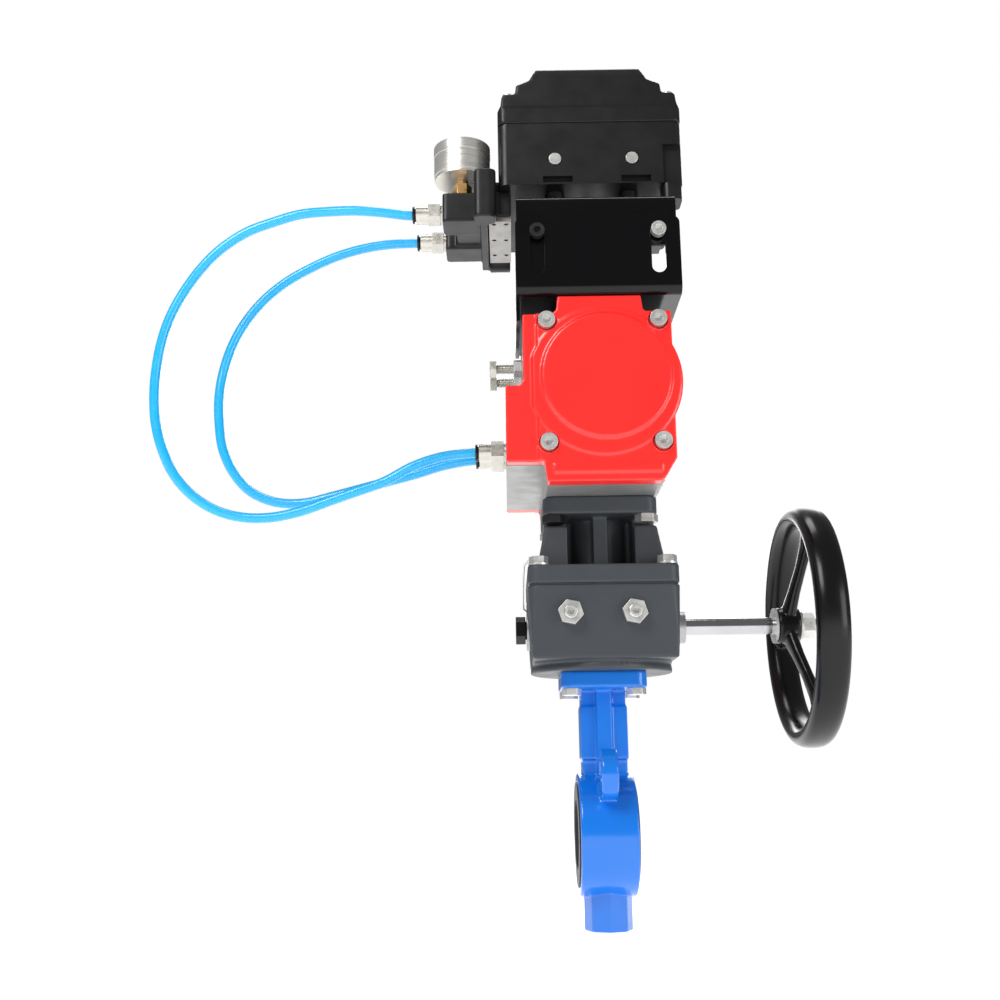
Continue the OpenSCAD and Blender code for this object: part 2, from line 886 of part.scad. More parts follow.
module pinion() {
    color(STEEL)
        difference() {
            union() {
                rod_z(17, act_z + 1, 300);
                rod_z(12.5, 300, 364);
                translate([0, 0, cyl_z - 20])
                    linear_extrude(height = 40)
                        gear_outline(pinion_teeth, pinion_module, 0.4);
                rod_z(12, 364, 374);
                rod_z(stub_r, 374, 422);
            }
            box([-8.6, -8.6, act_z], [8.6, 8.6, 277]);
            box([-stub_r - 1, -2.1, 410], [stub_r + 1, 2.1, 423]);
            difference() {
                rod_z(stub_r + 1, 403.4, 404.6);
                rod_z(stub_r - 0.6, 403, 405);
            }
        }
}

// Cam on the pinion that meets one travel stop bolt at each end of the quarter turn
module stop_cam() {
    color(STEEL)
        translate([0, 0, 364])
            difference() {
                union() {
                    cylinder(r = 16, h = 10);
                    intersection() {
                        cylinder(r = 26, h = 10);
                        linear_extrude(height = 10)
                            polygon([[0, 0], for (a = [-120 : 30 : 30]) polar(60, a)]);
                    }
                }
                translate([0, 0, -1])
                    cylinder(r = 12.02, h = 12);
            }
}

module pinion_bushes() {
    color(BRONZE) {
        difference() {
            rod_z(19.98, 258, 283);
            rod_z(17 + fit, 257, 284);
        }
        difference() {
            rod_z(12.98, 385, act_top);
            rod_z(stub_r + fit, 384, act_top + 1);
        }
    }
}

module pinion_circlip() {
    color(STEEL)
        difference() {
            rod_z(13, 403.45, 404.55);
            rod_z(stub_r - 0.58, 403, 405);
            box([-2.5, 4, 403], [2.5, 15, 405]);
        }
}

module travel_stop_bolts() {
    color(STEEL)
        for (y = [-stop_y, stop_y])
            translate([0, y, stop_z]) {
                rod_x(hex_r(13), -85, -79.5, sides = 6);
                rod_x(3.95, -80, -19);
                rod_x(3, -20, -13);
            }
}

module travel_stop_nuts() {
    color(STEEL)
        for (y = [-stop_y, stop_y])
            translate([pad_x, y, stop_z])
                rotate([0, -90, 0])
                    hex_nut(13, 6.5, 4);
}

module push_in_fittings() {
    color(STEEL) {
        for (side = [-1, 1])
            translate([port_x, side * port_y, port_z])
                push_in_fitting();
        for (y = output_y)
            translate([output_x, y, output_z])
                push_in_fitting();
    }
}

module port_ring_near() {
    color(BLACK)
        translate([port_x, -port_y, port_z])
            release_ring();
}

module port_ring_far() {
    color(BLACK)
        translate([port_x, port_y, port_z])
            release_ring();
}

module output_ring_near() {
    color(BLACK)
        translate([output_x, output_y[0], output_z])
            release_ring();
}

module output_ring_far() {
    color(BLACK)
        translate([output_x, output_y[1], output_z])
            release_ring();
}

// ---- brackets ----

// Angle of sheet metal seen along X: a flat leg at height z and an upright leg at the front
module angle_section(front, back, z, far_z) {
    up = far_z > z ? 1 : -1;
    outer = 7;
    inner = outer - sheet;
    difference() {
        union() {
            translate([front, min(z + up * outer, far_z)])
                square([sheet, abs(far_z - z) - outer]);
            translate([front + outer, up > 0 ? z : z - sheet])
                square([back - front - outer, sheet]);
            intersection() {
                translate([front + outer, z + up * outer])
                    circle(r = outer);
                translate([front, up > 0 ? z : z - outer])
                    square([outer, outer]);
            }
        }
        translate([front + outer, z + up * outer])
            circle(r = inner);
    }
}

module along_x(x0, x1) {
    translate([x0, 0, 0])
        rotate([90, 0, 90])
            linear_extrude(height = x1 - x0)
                children();
}

module upright_slot(x, z0, z1, y0, y1) {
    rod_y(slot_w / 2, y0, y1, x, z0 + slot_w / 2);
    rod_y(slot_w / 2, y0, y1, x, z1 - slot_w / 2);
    box([x - slot_w / 2, y0, z0 + slot_w / 2], [x + slot_w / 2, y1, z1 - slot_w / 2]);
}

module lower_bracket() {
    half = bracket_w / 2;
    color(BLACK)
        difference() {
            union() {
                box([-half, -78, side_leg_z], [-half + sheet, side_leg_y, act_top + sheet]);
                intersection() {
                    along_x(-half, half)
                        angle_section(-bracket_front, 43, act_top, 465);
                    union() {
                        box([-half, -100, 400], [half, 50, 459]);
                        box([-half + 6, -100, 450], [half - 6, 50, 466]);
                        for (side = [-1, 1])
                            rod_y(6, -100, 50, side * (half - 6), 459);
                    }
                }
            }
            rod_z(18, 400, 410);
            four(15, 40)
                rod_z(2.75, 400, 410);
            for (side = [-1, 1])
                upright_slot(side * slot_gap / 2, slot_z0, slot_z1, -100, -90);
        }
}

module upper_bracket() {
    front = -bracket_front + sheet;
    color(BLACK)
        difference() {
            union() {
                along_x(-bracket_w / 2 + 1, bracket_w / 2 - 2)
                    angle_section(front, 12, upper_z, 442);
                box([-bracket_w / 2 + 1, front, 414], [-22, front + sheet, 445]);
            }
            box([-13, -14, 480], [13, 13, 486]);
            rod_z(13, 480, 486, 0, -14);
            for (side = [-1, 1])
                rod_y(3.3, -99, -80, side * slot_gap / 2, slot_screw_z);
            for (x = spacer_x)
                for (y = spacer_y)
                    rod_z(3.3, 480, 486, x, y);
        }
}

module slot_screw(side) {
    translate([side * slot_gap / 2, -bracket_front, slot_screw_z])
        rotate([90, 0, 0])
            socket_screw(5.75, 6, 3, 16, 5);
}

// Spacers under the positioner, and the two blackened screws on the left
module black_fasteners() {
    color(BLACK) {
        slot_screw(-1);
        tower_bolt_at(-tower_bolt, -tower_bolt);
        for (x = spacer_x)
            for (y = spacer_y)
                difference() {
                    rod_z(8, upper_z, pos_z, x, y);
                    rod_z(3.1, upper_z - 1, pos_z + 1, x, y);
                }
    }
}

module bracket_screws() {
    color(STEEL) {
        four(15, 40)
            translate([0, 0, act_top + sheet])
                socket_screw(4.25, 5, 2.45, 14, 4);
        slot_screw(1);
        for (side = [-1, 1])
            translate([side * slot_gap / 2, -bracket_front + 2 * sheet, slot_screw_z])
                rotate([-90, 0, 0])
                    hex_nut(10, 5, 3.02);
    }
}

// ---- positioner ----

module positioner_base() {
    color(BLACK)
        difference() {
            union() {
                rounded_block([pos_x0, pos_y0, pos_z], [pos_x1, pos_y1, pos_seam - 2], 7);
                rounded_block([pos_x0 + 1.5, pos_y0 + 1.5, pos_seam - 3],
                    [pos_x1 - 1.5, pos_y1 - 1.5, pos_seam], 6);
                rounded_block([56, pos_y0, 493], [pos_x1 - 1, -48, 512], 5);
            }
            box([pos_x0 + 6, pos_y0 + 16, pos_z + 8], [pos_x1 - 6, pos_y1 - 16, pos_seam + 1]);
            rod_z(5 + fit, pos_z - 1, 516);
            for (x = spacer_x)
                for (y = spacer_y)
                    rod_z(3, pos_z - 1, 513, x, y);
            for (x = [-30, 32])
                rod_y(6, pos_y0 - 1, pos_y0 + 2, x, 529);
            for (x = [-28, 35])
                box([x - 12, pos_y0 - 1, 508.5], [x + 12, pos_y0 + 5, 514]);
            box([57, pos_y0 - 1, 507], [pos_x1 + 1, pos_y0 + 5, 541]);
            for (x = [-35, 35])
                rod_y(9.25, pos_y1 - 17, pos_y1 + 1, x, 535);
            translate([pos_mid, pos_my, 0])
                four(66, 53)
                    rod_z(2.5, 550, pos_seam + 1);
        }
}

// Steps of the cover, half of it from the middle outwards: across the front, then front to back
COVER_X = [[74.5, 562], [74.5, 575], [72, 578], [71, 587], [69, 589], [60, 589], [59, 597],
    [48, 601.5], [46, 606], [42.5, 612.5]];
COVER_Y = [[64.5, 562], [64.5, 575], [63.5, 577], [62.5, 604], [60, 612.5]];

module stepped(half) {
    n = len(half) - 1;
    polygon(concat(half, [for (i = [n : -1 : 0]) [-half[i][0], half[i][1]]]));
}

module positioner_cover() {
    color(BLACK)
        translate([pos_mid, pos_my, 0])
            difference() {
                intersection() {
                    translate([0, 100, 0])
                        rotate([90, 0, 0])
                            linear_extrude(height = 200)
                                stepped(COVER_X);
                    translate([-100, 0, 0])
                        rotate([90, 0, 90])
                            linear_extrude(height = 200)
                                stepped(COVER_Y);
                    rounded_block([-75, -65, 561], [75, 65, 616], 8);
                }
                box([-56, -46, 561], [56, 46, 586]);
                box([-42, -46, 585], [42, 46, 604]);
                four(66, 53)
                    rod_z(2.9, 561, 600);
            }
}

module positioner_screws() {
    color(STEEL) {
        translate([pos_mid, pos_my, 589])
            four(66, 53)
                socket_screw(4.25, 4, 2.45, 38, 4);
        for (x = spacer_x)
            for (y = spacer_y)
                translate([x, y, upper_z - sheet])
                    rotate([180, 0, 0])
                        socket_screw(5, 6, 2.95, 30, 5);
        for (x = [-30, 32])
            rod_y(5, pos_y0 - 1, pos_y0 + 2, x, 529);
    }
}

module control_board() {
    color("darkgreen") {
        difference() {
            box([-60, -50, 540], [60, 42, 541.6]);
            rod_z(12, 539, 543);
        }
        translate([0, -4, 0])
            four(55, 41)
                rod_z(3, pos_z + 8, 540);
        box([-55, 14, 541.6], [-10, 36, 553]);
        box([20, 10, 541.6], [50, 36, 556]);
        box([-50, -44, 541.6], [-20, -16, 545]);
    }
}

// Shaft that carries the stub's turn up into the positioner, with its cam disc
module feedback_shaft() {
    color(STEEL) {
        box([-9, -2, 411], [9, 2, 424]);
        rod_z(9.5, 423, 427);
        rod_z(5, 427, 534);
        rod_z(24, 524, 527);
    }
}

module manifold() {
    color(BLACK)
        difference() {
            union() {
                for (y = output_y)
                    rounded_block([output_x, y - 14, 485], [-90, y + 14, 510], 3);
                box([-112, output_y[0], 488], [-90, output_y[1], 507]);
                box([-91, -58, 479], [-85, 36, 520]);
                box([-86, -58, 486], [-66, 34, pos_z]);
                box([-86, -54, pos_z - 1], [pos_x0, 30, 518]);
                rounded_block([-96, -74, 479], [-78, -56, 520], 5);
                rod_x(9, -84, -66.5, 36, 487);
            }
            for (y = output_y)
                rod_x(6.5, output_x - 1, output_x + 12, y, output_z);
            for (y = output_y)
                rod_x(2.5, output_x + 10, -84, y, output_z);
            rod_y(5.9, 20, 31, -100, output_z);
            rod_z(5, 503, 511, gauge_x, gauge_y);
        }
}

module relay_plate() {
    color(ALLOY)
        difference() {
            box([-84, -55.5, 482], [-66, 26, 486]);
            for (x = [-80, -70])
                for (y = [-50, -20, 10])
                    rod_z(1.8, 481, 487, x, y);
        }
}

module gauge_case() {
    r = gauge_d / 2;
    color(STEEL)
        difference() {
            union() {
                rod_z(r - 0.8, gauge_z, gauge_z + 3, gauge_x, gauge_y);
                rod_z(r - 0.3, gauge_z + 3, gauge_z + 20, gauge_x, gauge_y);
                rod_z(r, gauge_z + 20, gauge_z + 29, gauge_x, gauge_y);
            }
            rod_z(r - 3, gauge_z + 22, gauge_z + 30, gauge_x, gauge_y);
            rod_z(r - 5, gauge_z + 2, gauge_z + 23, gauge_x, gauge_y);
        }
}

module gauge_stem() {
    color(BRONZE) {
        rod_z(4.9, 504, 512, gauge_x, gauge_y);
        rod_z(hex_r(14), 511, 522, gauge_x, gauge_y, sides = 6);
        rod_z(5, 522, gauge_z, gauge_x, gauge_y);
    }
}

module gauge_dial() {
    color("white")
        difference() {
            rod_z(gauge_d / 2 - 3.1, gauge_z + 22, gauge_z + 23, gauge_x, gauge_y);
            rod_z(1.2, gauge_z + 21, gauge_z + 24, gauge_x, gauge_y);
        }
}

// Pointer, resting at the start of the scale
module gauge_needle() {
    color(BLACK)
        translate([gauge_x, gauge_y, gauge_z]) {
            rod_z(1.1, 21, 26);
            rod_z(2.5, 24, 25.5);
            rotate([0, 0, 225])
                box([-6, -0.7, 24], [15, 0.7, 25]);
        }
}

// ---- air tubes ----

module tube_near() {
    color(TUBE_BLUE)
        sweep(ROUTE_NEAR, tube_r, 10, [0, 1, 0]);
}

module tube_far() {
    color(TUBE_BLUE)
        sweep(ROUTE_FAR, tube_r, 10, [0, 1, 0]);
}

valve_body();
valve_seat();
valve_disc();
valve_stem();
stem_bushes();
bottom_plug();
flange_bolts();
gearbox_housing();
wheel_bushes();
housing_gasket();
tower_cover();
cover_bolts();
worm_wheel();
clutch_sleeve();
clutch_knob();
lock_wire();
worm_shaft();
handwheel();
hub_fasteners();
stop_screws();
stop_nuts();
drive_coupling();
tower_bolts();
actuator_body();
front_cap();
rear_cap();
cap_seals();
cap_screws();
front_piston();
rear_piston();
front_piston_seal();
rear_piston_seal();
pinion();
stop_cam();
pinion_bushes();
pinion_circlip();
travel_stop_bolts();
travel_stop_nuts();
push_in_fittings();
port_ring_near();
port_ring_far();
output_ring_near();
output_ring_far();
lower_bracket();
upper_bracket();
bracket_screws();
black_fasteners();
positioner_base();
positioner_cover();
positioner_screws();
control_board();
feedback_shaft();
manifold();
relay_plate();
gauge_case();
gauge_stem();
gauge_dial();
gauge_needle();
tube_near();
tube_far();
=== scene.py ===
"""Quarter-turn pneumatic actuator: materials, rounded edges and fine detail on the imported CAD."""
import json
import math

import bmesh
import bpy
from mathutils import Euler, Matrix, Vector


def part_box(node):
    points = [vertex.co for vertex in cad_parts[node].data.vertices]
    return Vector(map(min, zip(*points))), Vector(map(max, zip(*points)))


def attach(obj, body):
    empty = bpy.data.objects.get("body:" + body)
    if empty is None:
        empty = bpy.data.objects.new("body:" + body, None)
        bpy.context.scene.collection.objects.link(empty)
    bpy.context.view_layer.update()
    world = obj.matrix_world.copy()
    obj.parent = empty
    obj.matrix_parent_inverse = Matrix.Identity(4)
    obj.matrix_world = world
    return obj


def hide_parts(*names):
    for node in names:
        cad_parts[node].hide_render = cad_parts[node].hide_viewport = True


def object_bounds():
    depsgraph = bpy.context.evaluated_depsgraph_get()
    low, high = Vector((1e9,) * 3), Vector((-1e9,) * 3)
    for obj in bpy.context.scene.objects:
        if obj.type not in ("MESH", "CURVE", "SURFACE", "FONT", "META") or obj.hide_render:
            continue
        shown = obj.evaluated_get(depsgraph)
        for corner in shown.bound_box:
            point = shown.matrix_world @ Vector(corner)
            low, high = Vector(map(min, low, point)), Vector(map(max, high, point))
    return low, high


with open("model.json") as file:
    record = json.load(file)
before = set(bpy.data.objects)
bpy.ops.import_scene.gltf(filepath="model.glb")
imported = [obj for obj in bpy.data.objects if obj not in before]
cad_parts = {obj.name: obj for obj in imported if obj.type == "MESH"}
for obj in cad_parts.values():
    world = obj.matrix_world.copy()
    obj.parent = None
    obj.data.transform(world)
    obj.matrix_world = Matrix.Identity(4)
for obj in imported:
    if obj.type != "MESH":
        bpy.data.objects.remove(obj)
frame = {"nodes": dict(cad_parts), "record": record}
NODES = frame["nodes"]
CAD_BOX = [list(corner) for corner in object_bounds()]
MM = 0.001
SCENE = bpy.context.scene


# ---- camera ----

CAMERA_PLACE = (-0.073, -0.965, 0.045)
CAMERA_TURN = (102.759, 0.698, 0.460)   # degrees about X, Y and Z: it looks up by about 13


def make_camera():
    """The viewpoint of the photograph: nearly square on, from below the actuator."""
    data = bpy.data.cameras.new("camera")
    data.sensor_width = 36
    data.lens = 43.74
    camera = bpy.data.objects.new("camera", data)
    SCENE.collection.objects.link(camera)
    turn = Euler([math.radians(angle) for angle in CAMERA_TURN])
    camera.matrix_world = Matrix.LocRotScale(CAMERA_PLACE, turn, None)
    SCENE.camera = camera


make_camera()


# ---- air tubes, along the same routes as in the CAD ----

TUBE_RADIUS = 4 * MM
ROUTE_STEPS = 4     # points on the curve for each point of the route
ROUTE_NEAR = [
    (-0.135, -0.038, 0.497), (-0.151, -0.038, 0.497), (-0.172, -0.038, 0.500), (-0.194, -0.038, 0.502),
    (-0.217, -0.037, 0.502), (-0.240, -0.037, 0.500), (-0.262, -0.036, 0.494), (-0.284, -0.035, 0.486),
    (-0.304, -0.034, 0.473), (-0.320, -0.033, 0.457), (-0.334, -0.031, 0.438), (-0.345, -0.030, 0.417),
    (-0.352, -0.029, 0.395), (-0.356, -0.027, 0.372), (-0.357, -0.026, 0.349), (-0.355, -0.025, 0.326),
    (-0.349, -0.024, 0.304), (-0.339, -0.022, 0.283), (-0.324, -0.021, 0.266), (-0.305, -0.019, 0.254),
    (-0.283, -0.018, 0.248), (-0.260, -0.017, 0.248), (-0.237, -0.016, 0.253), (-0.215, -0.015, 0.261),
    (-0.193, -0.014, 0.269), (-0.171, -0.013, 0.277), (-0.149, -0.013, 0.289), (-0.126, -0.012, 0.297),
    (-0.102, -0.012, 0.300), (-0.0855, -0.012, 0.300)]
ROUTE_FAR = [
    (-0.135, 0.016, 0.497), (-0.151, 0.016, 0.497), (-0.174, 0.016, 0.496), (-0.197, 0.016, 0.492),
    (-0.219, 0.016, 0.485), (-0.240, 0.016, 0.475), (-0.260, 0.016, 0.463), (-0.278, 0.015, 0.447),
    (-0.293, 0.015, 0.428), (-0.304, 0.015, 0.407), (-0.311, 0.015, 0.384), (-0.314, 0.014, 0.360),
    (-0.313, 0.014, 0.336), (-0.309, 0.014, 0.313), (-0.299, 0.014, 0.292), (-0.284, 0.013, 0.276),
    (-0.263, 0.013, 0.267), (-0.240, 0.013, 0.266), (-0.217, 0.012, 0.271), (-0.194, 0.012, 0.277),
    (-0.171, 0.012, 0.283), (-0.148, 0.012, 0.289), (-0.125, 0.012, 0.296), (-0.102, 0.012, 0.300),
    (-0.0855, 0.012, 0.300)]


def smooth_route(points):
    """Points on the Catmull-Rom curve through the route."""
    last = len(points) - 1
    out = []
    for i in range(last):
        p0, p1, p2, p3 = (Vector(points[j]) for j in (max(i - 1, 0), i, i + 1, min(i + 2, last)))
        for step in range(ROUTE_STEPS):
            t = step / ROUTE_STEPS
            out.append(0.5 * (2 * p1 + (p2 - p0) * t + (2 * p0 - 5 * p1 + 4 * p2 - p3) * t * t
                              + (3 * p1 - p0 - 3 * p2 + p3) * t ** 3))
    out.append(Vector(points[last]))
    return out


def make_tube(name, route, node):
    """Free tube from fitting to fitting, which replaces the CAD node of the same route."""
    points = smooth_route(route)
    data = bpy.data.curves.new(name, "CURVE")
    data.dimensions = "3D"
    data.bevel_depth = 1    # times each point's radius, which Blender also adds to the curve's box
    data.bevel_resolution = 5
    data.use_fill_caps = True
    spline = data.splines.new("POLY")
    spline.points.add(len(points) - 1)
    for point, place in zip(spline.points, points):
        point.co = (*place, 1)
        point.radius = TUBE_RADIUS
    spline.use_smooth = True
    tube = bpy.data.objects.new(name, data)
    SCENE.collection.objects.link(tube)
    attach(tube, "frame")
    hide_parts(node)
    return tube


TUBES = [make_tube("air_tube_near", ROUTE_NEAR, "tube_near"),
         make_tube("air_tube_far", ROUTE_FAR, "tube_far")]


# ---- materials ----

class Material:
    """A Principled material with helpers that each add one layer of detail."""

    def __init__(self, name, color, roughness, metallic=0.0):
        self.material = bpy.data.materials.new(name)
        self.material.use_nodes = True
        self.tree = self.material.node_tree
        self.shader = self.tree.nodes["Principled BSDF"]
        self.shader.inputs["Base Color"].default_value = (*color, 1)
        self.shader.inputs["Roughness"].default_value = roughness
        self.shader.inputs["Metallic"].default_value = metallic
        self.color = color
        self.bump = None
        self.coordinates = self.node("ShaderNodeTexCoord").outputs["Object"]

    def node(self, kind, **inputs):
        """New node of a kind, with the named inputs set."""
        made = self.tree.nodes.new(kind)
        for key, value in inputs.items():
            made.inputs[key].default_value = value
        return made

    def link(self, start, end):
        self.tree.links.new(start, end)

    def set(self, **values):
        """Sets shader inputs, with _ for each space in a name."""
        for key, value in values.items():
            self.shader.inputs[key.replace("_", " ")].default_value = value
        return self

    def stretched(self, scale):
        """The object's coordinates, scaled by a different amount along each axis."""
        mapping = self.node("ShaderNodeMapping")
        mapping.inputs["Scale"].default_value = scale
        self.link(self.coordinates, mapping.inputs["Vector"])
        return mapping.outputs["Vector"]

    def noise(self, scale, detail=3.0, stretch=None):
        noise = self.node("ShaderNodeTexNoise", Scale=scale, Detail=detail)
        source = self.stretched(stretch) if stretch else self.coordinates
        self.link(source, noise.inputs["Vector"])
        return noise.outputs["Fac"]

    def ranged(self, source, low, high):
        """Spreads the middle of a noise, where most of its values lie, over a range."""
        spread = self.node("ShaderNodeMapRange")
        for key, value in (("From Min", 0.3), ("From Max", 0.7), ("To Min", low), ("To Max", high)):
            spread.inputs[key].default_value = value
        self.link(source, spread.inputs["Value"])
        return spread.outputs["Result"]

    def add_bump(self, height, strength, distance):
        """Adds a bump on top of the ones so far."""
        bump = self.node("ShaderNodeBump", Strength=strength, Distance=distance)
        self.link(height, bump.inputs["Height"])
        if self.bump:
            self.link(self.bump.outputs["Normal"], bump.inputs["Normal"])
        self.link(bump.outputs["Normal"], self.shader.inputs["Normal"])
        self.bump = bump
        return self

    def grain(self, scale, strength, distance=0.0001, detail=3.0, stretch=None):
        """Fine unevenness of the surface; distance is in metres."""
        return self.add_bump(self.noise(scale, detail, stretch), strength, distance)

    def rough(self, scale, low, high, stretch=None):
        """Varies the roughness between two values."""
        value = self.ranged(self.noise(scale, 4.0, stretch), low, high)
        self.link(value, self.shader.inputs["Roughness"])
        return self

    def tint(self, scale, other, amount=1.0, stretch=None):
        """Mixes patches of another colour into the base."""
        mix = self.node("ShaderNodeMix")
        mix.data_type = "RGBA"
        mix.inputs["A"].default_value = (*self.color, 1)
        mix.inputs["B"].default_value = (*other, 1)
        factor = self.ranged(self.noise(scale, 5.0, stretch), 0.0, amount)
        self.link(factor, mix.inputs["Factor"])
        self.link(mix.outputs["Result"], self.shader.inputs["Base Color"])
        return self

    def cells(self, scale, strength, distance):
        """Bump of small cells, as small parts close together make."""
        texture = self.node("ShaderNodeTexVoronoi", Scale=scale)
        self.link(self.coordinates, texture.inputs["Vector"])
        return self.add_bump(texture.outputs["Distance"], strength, distance)

    def done(self):
        return self.material


def powder_coat(name, color, roughness, other):
    """Dull paint with a fine orange peel, as on castings."""
    return (Material(name, color, roughness).rough(60, roughness - 0.05, roughness + 0.06)
            .tint(9, other, 0.6).grain(900, 0.22, 0.00010).grain(2600, 0.10, 0.00005)
            .set(Specular_IOR_Level=0.35).done())


def gloss_paint(name, color, roughness, other):
    """Smooth paint under a thin clear coat."""
    return (Material(name, color, roughness).rough(25, roughness - 0.02, roughness + 0.04)
            .tint(5, other, 0.5).grain(140, 0.035, 0.00010, 1.0)
            .set(Coat_Weight=0.35, Coat_Roughness=0.05).done())


def black_gloss(name, color, roughness):
    """Black lacquer or plastic, even in colour."""
    return (Material(name, color, roughness).rough(30, roughness - 0.03, roughness + 0.05)
            .grain(160, 0.04, 0.00010, 1.0).grain(1800, 0.05, 0.00004)
            .set(Specular_IOR_Level=0.32).done())


def plated(name, color, roughness, other):
    """Plated or bare metal with a cloudy shine."""
    return (Material(name, color, roughness, 0.78).rough(180, roughness, roughness + 0.16)
            .tint(60, other).grain(1400, 0.10, 0.00003).done())


def brushed(name, color, roughness, other, stretch):
    """Metal with fine lines that run across the axis of the greatest stretch."""
    return (Material(name, color, roughness, 0.80).rough(60, roughness, roughness + 0.15, stretch)
            .tint(25, other).grain(500, 0.22, 0.00003, 2.0, stretch).done())


MATERIALS = {
    "valve_blue": gloss_paint("valve_blue", (0.003, 0.18, 0.72), 0.20, (0.004, 0.155, 0.64)),
    "seat_rubber": (Material("seat_rubber", (0.018, 0.018, 0.019), 0.55).rough(120, 0.45, 0.68)
                    .tint(40, (0.03, 0.03, 0.032)).grain(800, 0.25, 0.00008)
                    .set(Sheen_Weight=0.15).done()),
    "stainless": brushed("stainless", (0.80, 0.78, 0.73), 0.24, (0.72, 0.70, 0.66), (1, 1, 14)),
    "bronze": (Material("bronze", (0.62, 0.40, 0.17), 0.28, 1.0).rough(150, 0.22, 0.42)
               .tint(70, (0.50, 0.30, 0.12)).grain(700, 0.14, 0.00004, 2.0, (1, 1, 9)).done()),
    "zinc_steel": plated("zinc_steel", (0.80, 0.79, 0.76), 0.24, (0.66, 0.66, 0.64)),
    "charcoal_paint": powder_coat("charcoal_paint", (0.045, 0.051, 0.058), 0.42,
                                  (0.051, 0.057, 0.065)),
    "machined_steel": brushed("machined_steel", (0.48, 0.48, 0.49), 0.25,
                              (0.38, 0.38, 0.39), (1, 1, 10)),
    "black_plastic": black_gloss("black_plastic", (0.004, 0.004, 0.0045), 0.22),
    "hard_chrome": (Material("hard_chrome", (0.52, 0.52, 0.54), 0.10, 1.0)
                    .rough(90, 0.08, 0.20, (6, 1, 1)).tint(30, (0.46, 0.46, 0.48))
                    .grain(600, 0.08, 0.00002, 2.0, (12, 1, 1)).done()),
    "gloss_black": black_gloss("gloss_black", (0.0015, 0.0015, 0.002), 0.14),
    "grey_alloy": (Material("grey_alloy", (0.36, 0.36, 0.35), 0.38, 0.55).rough(70, 0.32, 0.50)
                   .tint(30, (0.31, 0.31, 0.305)).grain(1100, 0.22, 0.00006)
                   .grain(260, 0.12, 0.00006, 2.0, (1, 0.05, 1)).done()),
    "red_paint": gloss_paint("red_paint", (0.92, 0.020, 0.016), 0.30, (0.86, 0.016, 0.013)),
    "black_oxide": plated("black_oxide", (0.035, 0.035, 0.037), 0.34, (0.025, 0.025, 0.027)),
    "bare_alloy": plated("bare_alloy", (0.40, 0.39, 0.37), 0.34, (0.34, 0.33, 0.32)),
    "nickel": plated("nickel", (0.66, 0.63, 0.57), 0.20, (0.55, 0.53, 0.48)),
    "black_housing": powder_coat("black_housing", (0.007, 0.007, 0.0075), 0.36,
                                 (0.009, 0.009, 0.0095)),
    "board_green": (Material("board_green", (0.008, 0.11, 0.045), 0.35).rough(200, 0.28, 0.45)
                    .tint(220, (0.006, 0.075, 0.030)).cells(420, 0.3, 0.0001).done()),
    "dial_white": (Material("dial_white", (0.80, 0.80, 0.77), 0.45).rough(150, 0.40, 0.52)
                   .tint(80, (0.76, 0.76, 0.73)).grain(1500, 0.05, 0.00003).done()),
    "tube_blue": (Material("tube_blue", (0.015, 0.42, 0.82), 0.24).rough(80, 0.20, 0.34)
                  .tint(20, (0.020, 0.47, 0.86), 0.6).grain(350, 0.06, 0.00005)
                  .set(Subsurface_Weight=0.25, Subsurface_Scale=0.003, Coat_Weight=0.3).done()),
}


# ---- rounded edges on the CAD nodes ----

# Width of the rounded edge in millimetres, where it isn't the small one
BEVELS = {"actuator_body": 0.8, "positioner_base": 0.9, "lower_bracket": 0.4, "upper_bracket": 0.4,
          "gauge_case": 0.9, "push_in_fittings": 0.5, "valve_seat": 1.0, "clutch_knob": 0.8,
          "relay_plate": 0.4}
SMALL_BEVEL = 0.35
SHARP = math.radians(32)
# Cast and moulded nodes, each with the voxel in millimetres that melts its copy
CAST_VOXEL = {"front_cap": 0.9, "rear_cap": 0.9, "tower_cover": 1.1, "gearbox_housing": 1.1,
              "valve_body": 0.9, "positioner_cover": 1.1, "manifold": 0.9}
# Nodes that a new piece replaces
TUBE_NODES = {"tube_near", "tube_far"}
REPLACED = {"handwheel", "stop_screws", "travel_stop_bolts", *CAST_VOXEL}


def round_edges(node, width):
    """Rounds a CAD node's sharp edges with modifiers, after its flat faces are merged."""
    thing = NODES[node]
    weld = thing.modifiers.new("weld", "WELD")
    weld.merge_threshold = 0.00001
    flat = thing.modifiers.new("flat", "DECIMATE")
    flat.decimate_type = "DISSOLVE"
    flat.angle_limit = math.radians(0.5)
    bevel = thing.modifiers.new("bevel", "BEVEL")
    bevel.width = width * MM
    bevel.segments = 3
    bevel.limit_method = "ANGLE"
    bevel.angle_limit = SHARP
    bevel.miter_outer = "MITER_ARC"
    normals = thing.modifiers.new("normals", "WEIGHTED_NORMAL")
    normals.keep_sharp = False
    normals.weight = 80


def dress(data, slot):
    """Gives a mesh or curve the material of a slot."""
    data.materials.clear()
    data.materials.append(MATERIALS[slot])


SLOTS = {part["node"]: part["material_slot"] for part in frame["record"]["subparts"]}
for node, slot in SLOTS.items():
    if node in TUBE_NODES:
        continue
    dress(NODES[node].data, slot)
    if node not in REPLACED:
        round_edges(node, BEVELS.get(node, SMALL_BEVEL))
for tube in TUBES:
    dress(tube.data, "tube_blue")


# ---- detailed pieces that stand for plain CAD nodes ----

def add_piece(name, data, node, body, slot):
    """Object with a mesh that stands for a node and takes the finish of a slot."""
    dress(data, slot)
    piece = bpy.data.objects.new(name, data)
    SCENE.collection.objects.link(piece)
    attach(piece, body)
    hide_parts(node)
    return piece


